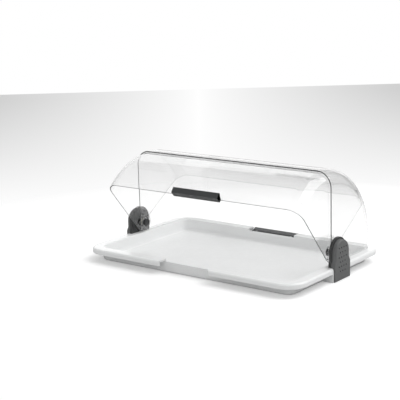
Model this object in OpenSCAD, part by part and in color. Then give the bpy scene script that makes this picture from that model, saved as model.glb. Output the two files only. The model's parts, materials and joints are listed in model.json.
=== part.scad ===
// Countertop bread display: a white serving tray under two clear roll-top covers.
// The covers turn on one axis between two brackets, the front one inside the rear one.
// Millimetres. X right, Y back, Z up. Origin: centre of the tray's underside.

/* [Tray] */
// Width of the tray over its rim
tray_w = 536; // [440:2:640]
// Depth of the tray over its rim
tray_d = 342; // [290:1:400]
// Height of the rim's top
rim_h = 29; // [24:0.1:32]
// Outer corner radius of the rim, seen from above
rim_corner_r = 42; // [38:1:60]
// Width of the flat rim, from its outer edge to the inner wall
rim_w = 24.5; // [20:0.5:26]
// Thickness of the rim's flat
rim_t = 3.2; // [2.4:0.1:4]
// Height of the lip that hangs from the rim's outer edge
lip_h = 11; // [9:0.1:16]
// Thickness of that lip
lip_t = 3; // [2:0.1:4]
// Radius that rounds the rim's outer edge
rim_edge_r = 5; // [3:0.5:6]
// Radius that rounds the rim's inner edge
rim_inner_r = 2; // [1:0.5:3]
// Thickness of the tray's wall
wall_t = 4; // [3:0.5:5]
// How far the wall leans in from the rim to the floor
wall_draft = 1.5; // [1:0.5:3]
// Thickness of the tray's floor
floor_t = 3.5; // [2.4:0.1:5]
// Radius between the inner wall and the floor
floor_fillet_r = 8; // [5:0.5:10]
// Radius that rounds the wall into the underside
foot_r = 5; // [3:0.5:6]
// Length of the finger recess in the front and rear rim
recess_w = 122; // [100:1:150]
// How far the wall's top is lowered in the recess
recess_drop = 5.5; // [3.5:0.1:7]
// Radius of the recess's outer corners, seen from above
recess_mouth_r = 6; // [2:0.5:10]
// Radius of the recess's inner corners
recess_inner_r = 4; // [2:0.5:8]

/* [Covers] */
// Distance from the tray's side to the rear cover's side panel
cover_side_inset = 18; // [16:0.5:20]
// Distance from the tray's rear edge to the foot of the rear cover
cover_foot_inset = 7; // [6:0.1:10]
// Wall thickness of both covers
cover_t = 2.2; // [1.8:0.1:3]
// Air gap between the rear cover and the front cover inside it
cover_gap = 1.3; // [1.1:0.1:2]
// Outer radius of the rear cover between its roof and its side panels
cover_fillet_r = 33; // [20:1:45]
// Gap between the closed covers' feet and the rim
seat_gap = 0.3; // [0.2:0.1:0.6]
// How far the rear cover's front edge stands ahead of the pivot axis
rear_edge_lead = 8; // [6:0.5:14]
// How far the closed front cover reaches back past the vertical, in degrees
front_overlap = 6.8; // [4:0.1:10]
// How far the front cover stands open, in degrees
front_open = 50.4; // [0:0.1:80]

/* [Pivots] */
// Height of the pivot axis
pivot_h = 52; // [48:0.5:60]
// Diameter of the pivot bolt's smooth shank
shank_d = 8; // [6:0.5:10]
// Diameter of the pivot bolt's threaded end
thread_d = 6; // [5:0.5:7]
// Width across the flats of the bolt's head
head_af = 12; // [10:0.5:13]
// Thickness of the bolt's head
head_t = 3.8; // [3:0.1:4.5]
// Radial clearance of a cover on the shank
pivot_fit = 0.08; // [0.04:0.01:0.1]
// Diameter of the washers and of the spacer collar
washer_d = 18; // [14:0.5:20]
// Thickness of the spring washer under each knob
spring_washer_t = 1; // [0.6:0.1:1.4]
// Height of the boss round the pivot, outside the rear cover
rear_boss_t = 1; // [0.6:0.1:2]
// Height of the ribbed boss round the pivot, inside the front cover
front_boss_t = 3; // [2:0.1:4]
// Outer radius of the ribs round the front cover's pivot
hub_rib_r = 18; // [14:0.5:20]
// Number of those ribs
hub_rib_count = 8; // [6:1:14]
// Width of each rib
hub_rib_w = 2; // [1.2:0.1:2.4]
// Diameter of the knobs
knob_d = 16.4; // [13:0.2:20]
// Length of the knobs
knob_l = 5.4; // [5:0.1:9]
// Number of grip notches round a knob
knob_notches = 16; // [8:1:20]

/* [Brackets] */
// Height of the brackets' outer part
bracket_h = 82; // [78:1:92]
// Height of the block behind it
block_h = 86; // [82:1:96]
// Width of a bracket's foot, along the tray's side
bracket_foot_w = 59.2; // [50:0.2:70]
// How much narrower the outer part is above its foot
bracket_shoulder = 7.2; // [4:0.2:8]
// How much narrower the block is above its foot
block_shoulder = 3.2; // [1:0.2:4]
// Height of that shoulder
shoulder_h = 39; // [34:1:44]
// How far the bracket stands out past the tray's rim
bracket_proud = 2.8; // [2:0.1:5]
// Gap between the rear cover's side panel and the bracket
bracket_gap = 5.4; // [4.5:0.1:6.5]
// Wall of the hollow bracket
bracket_wall = 3; // [2:0.1:4]
// Radius that rounds the outer face above the foot
bracket_edge_r = 3; // [1:0.5:4]
// Height of the bracket's foot above the table
bracket_lift = 0.5; // [0.2:0.1:1]
// Thickness of the block behind the bracket, which carries the pivot bolt
block_t = 6.6; // [6:0.1:7.5]
// Thickness of the tray's fins on either side of a bracket
fin_t = 3; // [2:0.1:4]
// Thickness of the pocket's floor under a bracket
pocket_floor_t = 5; // [4.5:0.1:6]
// How far the pocket's floor reaches in from the tray's side
pocket_floor_inset = 3.8; // [3.5:0.1:5]
// Thickness of the pocket's back wall
pocket_back_t = 3; // [2:0.1:4]
// Clearance of a bracket in its pocket
pocket_fit = 0.3; // [0.2:0.05:0.5]
// Diameter of the dimples on a bracket's face
dimple_d = 3; // [1.6:0.1:3.4]
// Depth of the dimples
dimple_deep = 1; // [0.4:0.1:1.2]
// Spacing of the dimples across the face
dimple_pitch_y = 9; // [6:0.5:10]
// Spacing of the rows of dimples
dimple_pitch_z = 9.5; // [7:0.1:10]
// Number of rows of dimples
dimple_rows = 6; // [4:1:6]
// Height of the lowest row above the pocket's floor
dimple_rise = 14; // [12:0.5:15]

/* [Grips] */
// Length of a grip at the cover
grip_l = 117; // [90:1:118]
// How much shorter a grip is at each end of its outer edge
grip_taper = 7; // [4:0.5:10]
// How far a grip stands out from the cover
grip_out = 11; // [8:0.5:13]
// How far a grip's outer face leans out from bottom to top
grip_lean = 3; // [1:0.5:4]
// Height of a grip at its outer edge
grip_h = 12.7; // [11:0.1:16]
// How much lower a grip's top is at the cover
grip_top_fall = 4.7; // [2:0.1:6]
// How far a grip reaches below the edge that it holds
grip_under = 3; // [2.4:0.1:3.5]
// Thickness of the strip inside the cover
strip_t = 2.2; // [1.6:0.1:2.4]
// How far the tongue that carries the rear grip hangs below the rear cover's foot
rear_tongue = 11.5; // [8:0.1:13]
// Distance of a grip's screws from its middle
grip_screw_x = 46; // [30:1:48]

/* [Screws] */
// Diameter of the screws that hold the brackets
bracket_screw_d = 4; // [3:0.5:4]
// Distance of these screws from the bracket's middle
bracket_screw_y = 18; // [12:1:20]
// Diameter of the screws that hold the grips
grip_screw_d = 3; // [2:0.5:3]

/* [Hidden] */
$fn = 72;
DRUM_FN = 288;
EPS = 0.01;
FAR = 1000;

WHITE = "white";
CLEAR = [0.85, 0.9, 0.92, 0.3];
CHARCOAL = [0.27, 0.28, 0.29];
STEEL = "silver";
NYLON = "ivory";

// Tray, measured in from the outer edge of its rim
side_x = tray_w / 2;
front_y = tray_d / 2;
wall_out = rim_w - wall_t;
foot_out = wall_out + wall_draft;

// Covers: the foot of the rear cover lands on the rim, which gives its radius
seat_drop = pivot_h - rim_h - seat_gap;
rear_r = norm([front_y - cover_foot_inset, seat_drop]);
rear_half = side_x - cover_side_inset;
front_r = rear_r - cover_t - cover_gap;
front_half = rear_half - cover_t - cover_gap;
front_fillet_r = cover_fillet_r - cover_t - cover_gap;
hub_r = seat_drop - 1;

// Places along the right pivot, from the outside in
play = 0.2;
bracket_out_x = side_x + bracket_proud;
bracket_in_x = rear_half + bracket_gap;
block_out_x = bracket_in_x + block_t;
head_x = block_out_x + play;
hub_face_x = front_half - cover_t - front_boss_t;
shoulder_x = hub_face_x - 2 * play - spring_washer_t;
stud_l = knob_l - 1.6;

// Grips: y is measured out from the cover's edge, z up from it
front_edge_y = sqrt(pow(front_r, 2) - pow(seat_drop, 2));
rear_edge_drop = seat_drop + rear_tongue;
rear_edge_y = sqrt(pow(rear_r, 2) - pow(rear_edge_drop, 2));
grip_fit = 0.12;
grip_in = -cover_t - strip_t;
grip_root_z = grip_h - grip_under - grip_top_fall;
grip_screw_z = grip_root_z / 2 + 0.6;
grip_screw_head_d = 5;
grip_screw_head_t = 1.4;
tongue_w = grip_l - 2;

// Bracket and its pocket in the tray
foot_half = bracket_foot_w / 2;
shoulder_half = foot_half - bracket_shoulder / 2;
block_half = foot_half - block_shoulder / 2;
arch_z = bracket_h - shoulder_half;
ramp_low = shoulder_h - 3;
ramp_high = shoulder_h + 3;
pocket_half = foot_half + pocket_fit;
pocket_back_x = bracket_in_x - pocket_fit;
pocket_floor_x = side_x - pocket_floor_inset;
bracket_screw_x = bracket_in_x + block_t / 2;
bracket_screw_head_t = 2.4;
block_screw_y = shoulder_half - 7;
block_screw_z = rim_h + 10;
block_screw_head_t = 2;

// ---- helpers ----

// Points of an arc, from angle a0 to a1
function arc(cx, cy, r, a0, a1, n = 7) =
    [for (i = [0:n]) let (a = a0 + (a1 - a0) * i / n) [cx + r * cos(a), cy + r * sin(a)]];

// Lay a drawing of Y and Z along X, from x0 to x1
module along_x(x0, x1) {
    translate([x0, 0, 0]) rotate([90, 0, 90]) linear_extrude(x1 - x0) children();
}

// A rod along the pivot axis, from x0 to x1
module pivot_rod(d, x0, x1) {
    translate([x0, 0, pivot_h]) rotate([0, 90, 0]) cylinder(d = d, h = x1 - x0);
}

// A ring that turns loosely on the pivot bolt's shank
module collar(x0, x1) {
    difference() {
        pivot_rod(washer_d, x0, x1);
        pivot_rod(shank_d + play, x0 - 1, x1 + 1);
    }
}

module hexagon(af) {
    circle(d = af / cos(30), $fn = 6);
}

// A screw that points up, with a flat round head below z = 0
module cross_screw(d, l, head_d, head_t) {
    slot_l = 0.6 * head_d;
    slot_w = 0.15 * head_d;
    cylinder(d = d, h = l);
    translate([0, 0, -head_t]) difference() {
        cylinder(d1 = head_d - 0.8, d2 = head_d, h = head_t);
        for (a = [0, 90]) rotate([0, 0, a])
            translate([-slot_l / 2, -slot_w / 2, -1]) cube([slot_l, slot_w, 1 + 0.6 * head_t]);
    }
}

module left() {
    mirror([1, 0, 0]) children();
}

// Both ends, along X
module both() {
    children();
    left() children();
}

// Turn the front cover, with what it carries, to where it stands open
module opened() {
    translate([0, 0, pivot_h]) rotate([-front_open, 0, 0]) translate([0, 0, -pivot_h]) children();
}

// ---- tray ----

// Section of the rim, the wall and the floor; x runs out from the corner's centre
module tray_section() {
    out = rim_corner_r;
    fillet_x = out - rim_w - wall_draft - floor_fillet_r;
    polygon(concat(
        [[0, 0]],
        arc(out - foot_out - foot_r, foot_r, foot_r, -90, 0),
        [[out - wall_out, rim_h - rim_t], [out - lip_t, rim_h - rim_t],
         [out - lip_t, rim_h - lip_h], [out, rim_h - lip_h]],
        arc(out - rim_edge_r, rim_h - rim_edge_r, rim_edge_r, 0, 90),
        arc(out - rim_w + rim_inner_r, rim_h - rim_inner_r, rim_inner_r, 90, 180),
        arc(fillet_x, floor_t + floor_fillet_r, floor_fillet_r, 0, -90),
        [[0, floor_t]]));
}

// One straight side, reach mm from the middle and len mm long over its corners
module tray_side(reach, len) {
    translate([reach - rim_corner_r, 0, 0]) rotate([90, 0, 0])
        linear_extrude(len - 2 * rim_corner_r, center = true) tray_section();
}

module tray_shell() {
    cx = side_x - rim_corner_r;
    cy = front_y - rim_corner_r;
    for (a = [0, 180]) rotate([0, 0, a]) {
        tray_side(side_x, tray_d);
        rotate([0, 0, 90]) tray_side(front_y, tray_w);
        translate([cx, cy, 0]) rotate_extrude(angle = 90) tray_section();
        translate([-cx, cy, 0]) rotate([0, 0, 90]) rotate_extrude(angle = 90) tray_section();
    }
    translate([-cx - 1, -cy - 1, 0]) cube([2 * cx + 2, 2 * cy + 2, floor_t]);
}

// Outline of a finger recess from above; y runs in from the rim's edge
module recess_outline() {
    half = recess_w / 2;
    r = recess_inner_r;
    mouth = recess_mouth_r;
    difference() {
        translate([-half - mouth, -1]) square([recess_w + 2 * mouth, mouth + 1]);
        for (x = [-1, 1]) translate([x * (half + mouth), mouth]) circle(mouth);
    }
    translate([-half, 0]) square([recess_w, wall_out - r]);
    translate([-half + r, 0]) square([recess_w - 2 * r, wall_out]);
    for (x = [-1, 1]) translate([x * (half - r), wall_out - r]) circle(r);
}

// The rim and its lip are cut away there, and the wall's top is lowered
module recess_cut() {
    translate([0, -front_y, -1]) linear_extrude(rim_h + 2) recess_outline();
    translate([-recess_w / 2, -front_y + recess_inner_r, rim_h - recess_drop])
        cube([recess_w, rim_w, recess_drop + 1]);
}

// Solid round a bracket's pocket, under the rim and as rounded as its edge
module pocket_block() {
    translate([0, pocket_half + fin_t, 0]) rotate([90, 0, 0])
        linear_extrude(2 * (pocket_half + fin_t)) polygon(concat(
            [[side_x - wall_out - wall_t / 2, 0], [side_x, 0]],
            arc(side_x - rim_edge_r, rim_h - rim_edge_r, rim_edge_r, 0, 90),
            [[side_x - wall_out - wall_t / 2, rim_h]]));
}

module pocket_cut() {
    relief_x = side_x - wall_out;
    wide = 2 * pocket_half;
    translate([pocket_back_x, -pocket_half, pocket_floor_t]) cube([FAR, wide, rim_h]);
    translate([pocket_floor_x, -pocket_half, -1]) cube([FAR, wide, rim_h]);
    translate([relief_x, -pocket_half, -1])
        cube([pocket_back_x - pocket_back_t - relief_x, wide, rim_h - rim_t + 1]);
    for (y = [-1, 1]) translate([bracket_screw_x, y * bracket_screw_y, -1]) {
        cylinder(d = bracket_screw_d + 2 * play, h = pocket_floor_t + 2);
        cylinder(d = 2 * bracket_screw_d + 2 * play, h = 1 + bracket_screw_head_t + play);
    }
}

module tray() {
    color(WHITE) difference() {
        union() {
            tray_shell();
            both() pocket_block();
        }
        recess_cut();
        mirror([0, 1, 0]) recess_cut();
        both() pocket_cut();
    }
}

// ---- covers ----

// Outline of a drum: x is the distance from its axis, y runs along it
module drum_outline(half, r, fillet) {
    translate([0, -half]) square([r - fillet, 2 * half]);
    translate([0, fillet - half]) square([r, 2 * (half - fillet)]);
    for (y = [-1, 1]) translate([r - fillet, y * (half - fillet)]) circle(fillet);
}

// Wall of a closed drum with rounded ends, round the pivot axis
module drum_wall(half, r, fillet) {
    translate([0, 0, pivot_h]) rotate([0, 90, 0]) difference() {
        rotate_extrude($fn = DRUM_FN) drum_outline(half, r, fillet);
        rotate_extrude($fn = DRUM_FN)
            drum_outline(half - cover_t, r - cover_t, fillet - cover_t);
    }
}

// Side view of the rear cover, from the pivot
module rear_side_view() {
    difference() {
        union() {
            translate([-rear_edge_lead, 0]) square(FAR);
            translate([0, -seat_drop]) square(FAR);
            circle(hub_r);
        }
        translate([-FAR - rear_edge_lead, -FAR]) square([FAR, 2 * FAR]);
    }
}

// Side view of the closed front cover, from the pivot
module front_side_view() {
    translate([-FAR, -seat_drop]) square(FAR);
    polygon([[0, 0], [FAR * tan(front_overlap), FAR], [-FAR, FAR]]);
    circle(hub_r);
}

// Holes for a grip's screws, through the cover and the strip inside it
module grip_screw_holes(edge_y, drop) {
    for (x = [-1, 1])
        translate([x * grip_screw_x, edge_y + grip_in - 1, pivot_h - drop + grip_screw_z])
            rotate([-90, 0, 0]) cylinder(d = grip_screw_d + play, h = cover_t + strip_t + 3);
}

module rear_cover() {
    color(CLEAR) difference() {
        union() {
            intersection() {
                drum_wall(rear_half, rear_r, cover_fillet_r);
                translate([0, 0, pivot_h]) along_x(-FAR, FAR) rear_side_view();
            }
            intersection() {
                drum_wall(rear_half, rear_r, cover_fillet_r);
                translate([-tongue_w / 2, 0, pivot_h - rear_edge_drop])
                    cube([tongue_w, FAR, rear_tongue + 1]);
            }
            both() pivot_rod(2 * rear_edge_lead, rear_half - EPS, rear_half + rear_boss_t);
        }
        pivot_rod(shank_d + 2 * pivot_fit, -FAR, FAR);
        grip_screw_holes(rear_edge_y, rear_edge_drop);
    }
}

// Boss and ribs round the pivot, on the inner face of the right side panel
module ribbed_boss() {
    face = front_half - cover_t;
    pivot_rod(washer_d, hub_face_x, face + EPS);
    intersection() {
        pivot_rod(2 * hub_rib_r, hub_face_x, face + EPS);
        for (i = [0:hub_rib_count - 1]) translate([hub_face_x, 0, pivot_h])
            rotate([360 * i / hub_rib_count, 0, 0])
            translate([0, -hub_rib_w / 2, 0]) cube([front_boss_t + EPS, hub_rib_w, FAR]);
    }
}

module front_cover() {
    color(CLEAR) opened() difference() {
        union() {
            intersection() {
                drum_wall(front_half, front_r, front_fillet_r);
                translate([0, 0, pivot_h]) along_x(-FAR, FAR) front_side_view();
            }
            both() ribbed_boss();
        }
        pivot_rod(shank_d + 2 * pivot_fit, -FAR, FAR);
        mirror([0, 1, 0]) grip_screw_holes(front_edge_y, seat_drop);
    }
}

// ---- grips ----

// Section of a grip together with the strip that clamps it
module grip_section() {
    polygon([[grip_in, -grip_under], [grip_out - grip_lean - 1, -grip_under],
             [grip_out - grip_lean, 1 - grip_under],
             [grip_out, grip_h - grip_under - 1.2], [grip_out - 1.2, grip_h - grip_under],
             [0, grip_root_z], [grip_in, grip_root_z]]);
}

// Outline of a grip from above, tapered at both ends
module grip_plan() {
    half = grip_l / 2;
    polygon([[-half, grip_in - 1], [half, grip_in - 1], [half, 0],
             [half - grip_taper, grip_out], [grip_taper - half, grip_out], [-half, 0]]);
}

// Outer part of a grip, with the edge of the cover standing in its groove
module grip(edge_y, drop, r) {
    color(CHARCOAL) translate([0, edge_y, pivot_h - drop]) difference() {
        intersection() {
            along_x(-grip_l / 2, grip_l / 2) difference() {
                grip_section();
                intersection() {
                    translate([-edge_y, drop]) circle(r + grip_fit, $fn = DRUM_FN);
                    translate([-FAR, -grip_fit]) square(2 * FAR);
                }
            }
            translate([0, 0, -FAR / 2]) linear_extrude(FAR) grip_plan();
        }
        for (x = [-1, 1]) translate([x * grip_screw_x, 0, grip_screw_z])
            rotate([-90, 0, 0]) cylinder(d = grip_screw_d, h = grip_out - grip_lean);
    }
}

// Strip inside the cover, clamped by the screws
module grip_strip(edge_y, drop, r) {
    color(CHARCOAL) difference() {
        translate([0, edge_y, pivot_h - drop]) along_x(-grip_l / 2, grip_l / 2) intersection() {
            grip_section();
            translate([-edge_y, drop]) circle(r - cover_t - grip_fit, $fn = DRUM_FN);
            translate([-FAR, 0]) square(2 * FAR);
        }
        grip_screw_holes(edge_y, drop);
    }
}

module grip_screws(edge_y, drop) {
    color(STEEL) for (x = [-1, 1])
        translate([x * grip_screw_x, edge_y + grip_in, pivot_h - drop + grip_screw_z])
            rotate([-90, 0, 0])
            cross_screw(grip_screw_d, cover_t + strip_t + grip_out - grip_lean - 2,
                        grip_screw_head_d, grip_screw_head_t);
}

// Carry a piece of a grip over to the front cover
module at_front() {
    opened() mirror([0, 1, 0]) children();
}

// ---- brackets ----

// Side view of a foot that narrows at its shoulder, from height z0 up
module foot_outline(top_half, z0) {
    polygon([[-foot_half, z0], [foot_half, z0], [foot_half, ramp_low], [top_half, ramp_high],
             [-top_half, ramp_high], [-foot_half, ramp_low]]);
}

// Side view of a tombstone: straight sides from height z0 up, under a round arch
module arch_outline(half, centre_z, z0) {
    translate([-half, z0]) square([2 * half, centre_z - z0]);
    translate([0, centre_z]) circle(half);
}

// Outer part above its foot, with a rounded edge round the outer face
module rounded_arch() {
    edge_x = bracket_out_x - bracket_edge_r;
    edge = shoulder_half - bracket_edge_r;
    translate([0, 0, arch_z]) rotate([0, 90, 0]) rotate_extrude() polygon(concat(
        [[0, block_out_x], [shoulder_half, block_out_x]],
        arc(edge, edge_x, bracket_edge_r, 0, 90), [[0, bracket_out_x]]));
    translate([0, 0, ramp_low]) linear_extrude(arch_z - ramp_low) polygon(concat(
        [[block_out_x, -shoulder_half]],
        arc(edge_x, -edge, bracket_edge_r, -90, 0), arc(edge_x, edge, bracket_edge_r, 0, 90),
        [[block_out_x, shoulder_half]]));
}

// Holes of the two screws that join the block to the bracket
module block_screw_spots() {
    for (y = [-1, 1]) translate([bracket_in_x, y * block_screw_y, block_screw_z])
        rotate([0, 90, 0]) children();
}

// Staggered rows of shallow dimples on the outer face
module dimples() {
    z0 = pocket_floor_t + dimple_rise;
    for (row = [0:dimple_rows - 1]) let (n = 3 + row % 2) for (col = [0:n - 1])
        translate([bracket_out_x - dimple_deep, (col - (n - 1) / 2) * dimple_pitch_y,
                   z0 + row * dimple_pitch_z])
            rotate([0, 90, 0]) cylinder(d = dimple_d, h = 1 + dimple_deep);
}

// Outer part, hollow and open towards the block
module bracket() {
    hollow_z = pocket_floor_t + pocket_fit + bracket_wall;
    color(CHARCOAL) difference() {
        union() {
            along_x(block_out_x, bracket_out_x) foot_outline(shoulder_half, bracket_lift);
            rounded_arch();
        }
        difference() {
            along_x(block_out_x - 1, bracket_out_x - bracket_wall) {
                arch_outline(shoulder_half - bracket_wall, arch_z, hollow_z);
                translate([bracket_wall - foot_half, hollow_z])
                    square([2 * (foot_half - bracket_wall), ramp_low - hollow_z]);
            }
            pivot_rod(head_af + 2 * bracket_wall, block_out_x - 2, bracket_out_x);
            block_screw_spots() cylinder(d = 3 * grip_screw_d, h = FAR);
        }
        // the pocket's floor passes behind the foot
        translate([block_out_x - 1, -FAR / 2, -1])
            cube([pocket_floor_x + pocket_fit - block_out_x + 1, FAR,
                  pocket_floor_t + pocket_fit + 1]);
        translate([0, 0, pivot_h]) along_x(block_out_x - 1, head_x + head_t + play)
            hexagon(head_af + 2 * play);
        block_screw_spots() cylinder(d = grip_screw_d, h = block_t + 5);
        dimples();
    }
}

module bracket_block() {
    color(CHARCOAL) difference() {
        along_x(bracket_in_x, block_out_x) {
            foot_outline(block_half, pocket_floor_t);
            arch_outline(block_half, block_h - block_half, ramp_low);
        }
        pivot_rod(shank_d + play / 2, bracket_in_x - 1, block_out_x + 1);
        for (y = [-1, 1]) translate([bracket_screw_x, y * bracket_screw_y, 0])
            cylinder(d = bracket_screw_d, h = pocket_floor_t + 11);
        block_screw_spots() {
            cylinder(d = grip_screw_d + play, h = block_t + 1);
            translate([0, 0, -1])
                cylinder(d = grip_screw_head_d + 2 * play, h = 1 + block_screw_head_t + play);
        }
    }
}

// Up through the pocket's floor, into the block
module bracket_screws() {
    color(STEEL) for (y = [-1, 1])
        translate([bracket_screw_x, y * bracket_screw_y, bracket_screw_head_t + play])
            cross_screw(bracket_screw_d, pocket_floor_t + 6, 2 * bracket_screw_d,
                        bracket_screw_head_t);
}

// Out through the block, into the bracket
module block_screws() {
    color(STEEL) block_screw_spots() translate([0, 0, block_screw_head_t + play])
        cross_screw(grip_screw_d, block_t, grip_screw_head_d, block_screw_head_t);
}

// ---- pivots ----

module pivot_bolt() {
    color(STEEL) {
        translate([0, 0, pivot_h]) along_x(head_x, head_x + head_t) hexagon(head_af);
        pivot_rod(shank_d, shoulder_x, head_x + EPS);
        pivot_rod(thread_d, shoulder_x - stud_l, shoulder_x + EPS);
    }
}

module spacer() {
    color(CHARCOAL) collar(rear_half + rear_boss_t + play, bracket_in_x);
}

module middle_washer() {
    color(NYLON) collar(front_half + play, front_half + cover_gap - play);
}

module spring_washer() {
    color(STEEL) collar(hub_face_x - play - spring_washer_t, hub_face_x - play);
}

module knob() {
    end = shoulder_x - knob_l;
    color(CHARCOAL) difference() {
        union() {
            pivot_rod(knob_d - 2.4, end, shoulder_x);
            pivot_rod(knob_d, end + 0.8, shoulder_x - 1.6);
        }
        pivot_rod(thread_d + play / 2, shoulder_x - stud_l - 0.4, shoulder_x + 1);
        for (i = [0:knob_notches - 1]) translate([end - 1, 0, pivot_h])
            rotate([360 * i / knob_notches, 0, 0]) translate([0, 0, knob_d / 2])
            rotate([0, 90, 0]) cylinder(d = 1.6, h = knob_l + 2);
    }
}

tray();
rear_cover();
front_cover();
bracket();  // right_bracket
left() bracket();  // left_bracket
bracket_block();  // right_bracket_block
left() bracket_block();  // left_bracket_block
bracket_screws();  // right_bracket_screws
left() bracket_screws();  // left_bracket_screws
block_screws();  // right_block_screws
left() block_screws();  // left_block_screws
pivot_bolt();  // right_pivot_bolt
left() pivot_bolt();  // left_pivot_bolt
spacer();  // right_spacer
left() spacer();  // left_spacer
middle_washer();  // right_middle_washer
left() middle_washer();  // left_middle_washer
spring_washer();  // right_spring_washer
left() spring_washer();  // left_spring_washer
knob();  // right_knob
left() knob();  // left_knob
at_front() grip(front_edge_y, seat_drop, front_r);  // front_grip
at_front() grip_strip(front_edge_y, seat_drop, front_r);  // front_grip_strip
at_front() grip_screws(front_edge_y, seat_drop);  // front_grip_screws
grip(rear_edge_y, rear_edge_drop, rear_r);  // rear_grip
grip_strip(rear_edge_y, rear_edge_drop, rear_r);  // rear_grip_strip
grip_screws(rear_edge_y, rear_edge_drop);  // rear_grip_screws
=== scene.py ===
"""A countertop bread display: a white serving tray under two clear roll-top covers.

The covers turn on one axis between two brackets, the front one inside the rear one.
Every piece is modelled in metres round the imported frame, +X right, +Y back, +Z up.
"""

import json
from contextlib import contextmanager
from math import atan2, cos, degrees, hypot, pi, radians, sin, sqrt

import bmesh
import bpy
from bpy.props import FloatProperty, FloatVectorProperty, IntProperty, PointerProperty
from mathutils import Matrix, Vector


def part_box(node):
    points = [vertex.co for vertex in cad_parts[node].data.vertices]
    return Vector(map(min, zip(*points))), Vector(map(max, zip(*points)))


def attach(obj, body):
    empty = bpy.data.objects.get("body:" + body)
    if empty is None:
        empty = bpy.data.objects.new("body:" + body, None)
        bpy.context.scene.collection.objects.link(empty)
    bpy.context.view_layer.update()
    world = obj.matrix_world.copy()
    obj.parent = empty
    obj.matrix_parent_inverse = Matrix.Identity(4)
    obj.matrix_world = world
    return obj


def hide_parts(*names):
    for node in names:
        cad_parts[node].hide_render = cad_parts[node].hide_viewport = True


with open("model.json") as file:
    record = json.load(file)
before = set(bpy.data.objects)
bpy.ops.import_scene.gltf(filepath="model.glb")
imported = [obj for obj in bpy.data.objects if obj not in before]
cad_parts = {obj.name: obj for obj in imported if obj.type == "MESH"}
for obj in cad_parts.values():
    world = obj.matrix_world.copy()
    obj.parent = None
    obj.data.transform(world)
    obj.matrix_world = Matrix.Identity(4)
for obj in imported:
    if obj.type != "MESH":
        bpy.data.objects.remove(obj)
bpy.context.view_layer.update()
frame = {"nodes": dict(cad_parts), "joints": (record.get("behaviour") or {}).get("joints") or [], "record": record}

bl_info = {
    "name": "Countertop bread display",
    "version": (1, 0, 0),
    "blender": (4, 5, 0),
    "location": "3D View > Sidebar > Bread display",
    "description": "Models a serving tray under two clear covers, with brackets, grips and knobs",
    "category": "Object",
}

MM = 0.001
NEAR = MM / 20  # closer than this counts as the same place
HINGE = next(joint for joint in frame["joints"] if joint["name"] == "front_cover_hinge")
PIVOT = Vector(HINGE["pos_m"])
FRONT_OPEN = radians(-HINGE["range_deg"][0])
TRAY_LOW, TRAY_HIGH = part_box("tray")
REAR_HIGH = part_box("rear_cover")[1]
BRACKET_LOW, BRACKET_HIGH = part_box("right_bracket")
BLOCK_LOW, BLOCK_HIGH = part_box("right_bracket_block")
KNOB_LOW, KNOB_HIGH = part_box("right_knob")
SCREWS_LOW, SCREWS_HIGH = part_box("right_bracket_screws")


# ---- sizes and colours that a user would change ----


def length(name, description, millimetres):
    return FloatProperty(
        name=name, description=description, default=millimetres * MM, min=0, unit="LENGTH", precision=4
    )


def fraction(name, description, part):
    return FloatProperty(name=name, description=description, default=part, min=0, max=1)


def angle(name, description, turn):
    return FloatProperty(name=name, description=description, default=radians(turn), unit="ROTATION")


def colour(name, description, hex_value):
    return FloatVectorProperty(
        name=name, description=description, default=linear(hex_value), size=4, min=0, max=1,
        subtype="COLOR",
    )


def linear(hex_value):
    """Turn a colour such as #A0B0C0 into a linear one with alpha."""
    channels = [int(hex_value[i : i + 2], 16) / 255 for i in (1, 3, 5)]
    return tuple(c / 12.92 if c <= 0.04045 else ((c + 0.055) / 1.055) ** 2.4 for c in channels) + (1.0,)


class TraySizes(bpy.types.PropertyGroup):
    corner_radius: length("Corner radius", "Outer corner radius of the rim from above", 42)
    rim_width: length("Rim width", "Flat rim, from its outer edge to the inner wall", 24.5)
    rim_thickness: length("Rim thickness", "Thickness of the rim's flat", 3.2)
    lip_height: length("Lip height", "Height of the lip that hangs from the rim", 11)
    lip_thickness: length("Lip thickness", "Thickness of the hanging lip", 3)
    rim_edge_radius: length("Rim edge radius", "Rounding of the rim's outer edge", 5)
    rim_inner_radius: length("Rim inner radius", "Rounding of the rim's inner edge", 2)
    wall_thickness: length("Wall thickness", "Thickness of the tray's wall", 4)
    wall_lean: length("Wall lean", "How far the wall leans in down to the floor", 1.5)
    floor_thickness: length("Floor thickness", "Thickness of the tray's floor", 3.5)
    floor_fillet: length("Floor fillet", "Radius between wall and floor", 8)
    foot_radius: length("Foot radius", "Rounding of the wall into the underside", 5)
    recess_width: length("Recess width", "Width of the finger recess in the rim", 122)
    recess_drop: length("Recess drop", "How far the wall's top is lowered there", 5.5)
    mouth_radius: length("Recess mouth radius", "Outer corners of the recess", 6)
    recess_radius: length("Recess inner radius", "Inner corners of the recess", 4)
    pocket_fit: length("Pocket fit", "Clearance of a bracket in its pocket", 0.3)
    fin_thickness: length("Fin thickness", "Fins on either side of a bracket", 3)
    pocket_floor: length("Pocket floor", "Thickness of the floor under a bracket", 5)
    pocket_floor_inset: length("Pocket floor inset", "Pocket floor's edge, in from the tray's side", 3.8)
    pocket_back: length("Pocket back", "Thickness of the pocket's back wall", 3)
    screw_head_radius: length("Screw head radius", "Radius of the heads under a bracket", 4)
    screw_head_height: length("Screw head height", "Height of those heads", 2.4)
    screw_play: length("Screw play", "Clearance round those screws", 0.2)


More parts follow.
